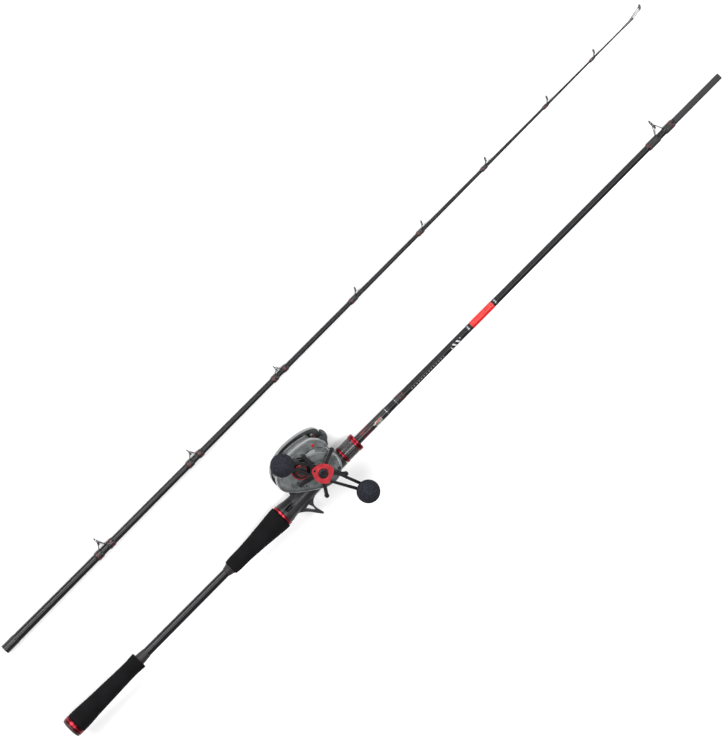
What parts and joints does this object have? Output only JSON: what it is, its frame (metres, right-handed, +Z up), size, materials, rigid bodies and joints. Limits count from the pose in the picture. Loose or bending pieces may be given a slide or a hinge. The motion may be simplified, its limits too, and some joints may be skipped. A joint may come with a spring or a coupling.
{
  "type": "fishing rod and reel",
  "caption": "Two-piece casting rod with a trigger seat, ring guides and a low-profile side-crank reel, laid down with its tip section beside it.",
  "frame": {"origin": "centre of the spool axis on the flat outer face of the reel's palm side, which rests on the floor", "axes": "+X along the rod from butt to tip; +Y from the rod to the reel and the guides; +Z up, from the palm side to the crank side"},
  "size_m": [1.1991, 0.2075, 0.1105],
  "materials": {
    "carbon_blank": "clear-coated black carbon",
    "eva_foam": "matte closed-cell foam",
    "black_rubber": "matte",
    "red_anodised": "polished red anodising",
    "seat_graphite": "satin graphite",
    "nut_black": "satin black",
    "decor_wrap": "glossy wrap with dark red flecks",
    "thread_wrap": "epoxy-coated thread",
    "silver_trim": "bright silver",
    "accent_red": "glossy red",
    "guide_steel": "dark steel",
    "guide_ceramic": "polished hard ring",
    "reel_grey": "satin gunmetal",
    "frame_dark": "dark anodising",
    "spool_dark": "polished dark anodising",
    "steel": "ground steel",
    "screw_black": "black oxide",
    "brass": "cut gear brass",
    "gear_plastic": "acetal",
    "drag_fibre": "woven carbon washers",
    "brake_copper": "plain",
    "black_anodised": "black anodising",
    "cap_copper": "copper-red anodising",
    "knob_foam": "dense foam"
  },
  "bodies": {
    "rod_butt": {"butt_blank": "carbon_blank", "butt_cap": "black_rubber", "butt_cap_ring": "red_anodised", "rear_grip": "eva_foam", "front_grip": "eva_foam", "front_grip_ring": "red_anodised", "winding_checks": "black_rubber", "seat_wrap": "decor_wrap", "trim_bands": "silver_trim", "accent_sleeve": "accent_red", "reel_seat": "seat_graphite", "stripper_guide_frame": "guide_steel", "stripper_guide_ring": "guide_ceramic", "stripper_guide_wraps": "thread_wrap", "reel_foot": "frame_dark", "reel_frame": "frame_dark", "palm_side_cover": "reel_grey", "gear_side_cover": "reel_grey", "front_hood": "reel_grey", "guide_bar": "steel", "brake_ring": "brake_copper", "spool_bearings": "steel", "one_way_bearing": "steel", "cover_screws": "screw_black", "cover_trim": "red_anodised"},
    "seat_hood": {"seat_hood": "seat_graphite"},
    "lock_nut": {"lock_nut": "nut_black", "lock_nut_rings": "red_anodised"},
    "tip_section": {"tip_blank": "carbon_blank", "ferrule_wrap": "thread_wrap", "guide_2_frame": "guide_steel", "guide_3_frame": "guide_steel", "guide_4_frame": "guide_steel", "single_foot_guides": "guide_steel", "guide_rings": "guide_ceramic", "guide_wraps": "thread_wrap", "tip_top_frame": "guide_steel"},
    "handle": {"drive_gear": "brass", "drive_shaft": "steel", "drag_washers": "drag_fibre", "handle_arm": "black_anodised", "handle_plate": "red_anodised", "handle_nut_and_keeper": "black_anodised", "knob_spindles": "steel"},
    "star_drag": {"star_drag": "black_anodised"},
    "knob_front": {"knob_front": "knob_foam"},
    "knob_rear": {"knob_rear": "knob_foam"},
    "spool": {"spool": "spool_dark", "spool_shaft": "steel", "brake_hub": "spool_dark"},
    "pinion": {"pinion_gear": "brass"},
    "clutch_yoke": {"clutch_yoke": "gear_plastic"},
    "thumb_bar": {"thumb_bar": "frame_dark"},
    "idler": {"idler_gear": "gear_plastic"},
    "worm": {"worm_shaft": "steel", "worm_gear": "gear_plastic"},
    "line_guide": {"line_guide": "gear_plastic", "line_guide_insert": "guide_ceramic"},
    "tension_cap": {"tension_cap": "cap_copper"},
    "brake_dial": {"brake_dial": "frame_dark"}
  },
  "joints": [
    {"name": "handle_spin", "type": "hinge", "parent": "rod_butt", "child": "handle", "pos_m": [0.01736, -0.01955, 0.05], "axis": [0, 0, 1], "continuous": true},
    {"name": "star_turn", "type": "hinge", "parent": "handle", "child": "star_drag", "pos_m": [0.01736, -0.01955, 0.068], "axis": [0, 0, 1], "range_deg": [-180, 360]},
    {"name": "knob_front_spin", "type": "hinge", "parent": "handle", "child": "knob_front", "pos_m": [0.04202, -0.07433, 0.095], "axis": [0, 0, 1], "continuous": true},
    {"name": "knob_rear_spin", "type": "hinge", "parent": "handle", "child": "knob_rear", "pos_m": [-0.01264, 0.03249, 0.095], "axis": [0, 0, 1], "continuous": true},
    {"name": "spool_spin", "type": "hinge", "parent": "rod_butt", "child": "spool", "pos_m": [0, 0, 0.03], "axis": [0, 0, 1], "continuous": true},
    {"name": "pinion_shift", "type": "slide", "parent": "spool", "child": "pinion", "axis": [0, 0, 1], "range_m": [0, 0.0019]},
    {"name": "yoke_shift", "type": "slide", "parent": "rod_butt", "child": "clutch_yoke", "axis": [0, 0, 1], "range_m": [0, 0.0019]},
    {"name": "thumb_bar_press", "type": "slide", "parent": "rod_butt", "child": "thumb_bar", "axis": [0, -1, 0], "range_m": [0, 0.005]},
    {"name": "idler_spin", "type": "hinge", "parent": "rod_butt", "child": "idler", "pos_m": [0.03085, -0.00954, 0.0476], "axis": [0, 0, 1], "continuous": true},
    {"name": "worm_spin", "type": "hinge", "parent": "rod_butt", "child": "worm", "pos_m": [0.0365, 0.0025, 0.03], "axis": [0, 0, 1], "continuous": true},
    {"name": "line_guide_travel", "type": "slide", "parent": "rod_butt", "child": "line_guide", "axis": [0, 0, 1], "range_m": [-0.0096, 0.0096]},
    {"name": "tension_cap_turn", "type": "hinge", "parent": "rod_butt", "child": "tension_cap", "pos_m": [0, 0, 0.063], "axis": [0, 0, 1], "range_deg": [-360, 360]},
    {"name": "brake_dial_turn", "type": "hinge", "parent": "rod_butt", "child": "brake_dial", "pos_m": [-0.0205, 0.002, 0.003], "axis": [0, 0, 1], "range_deg": [0, 270]},
    {"name": "hood_slide", "type": "slide", "parent": "rod_butt", "child": "seat_hood", "axis": [1, 0, 0], "range_m": [0, 0.0101]},
    {"name": "nut_turn", "type": "hinge", "parent": "seat_hood", "child": "lock_nut", "pos_m": [0.06, -0.035, 0.03], "axis": [1, 0, 0], "range_deg": [0, 1800]},
    {"name": "tip_section_travel", "type": "slide", "parent": "rod_butt", "child": "tip_section", "axis": [0.9961, -0.0871, 0.0156], "range_m": [0, 1.5104]}
  ],
  "couplings": [
    {"joint": "spool_spin", "follows": "handle_spin", "ratio": -5.9167},
    {"joint": "idler_spin", "follows": "handle_spin", "ratio": -1.1818},
    {"joint": "worm_spin", "follows": "handle_spin", "ratio": 1.625},
    {"joint": "pinion_shift", "follows": "thumb_bar_press", "ratio": 0.36},
    {"joint": "yoke_shift", "follows": "thumb_bar_press", "ratio": 0.36},
    {"joint": "hood_slide", "follows": "nut_turn", "m_per_rad": 0.00031831}
  ]
}
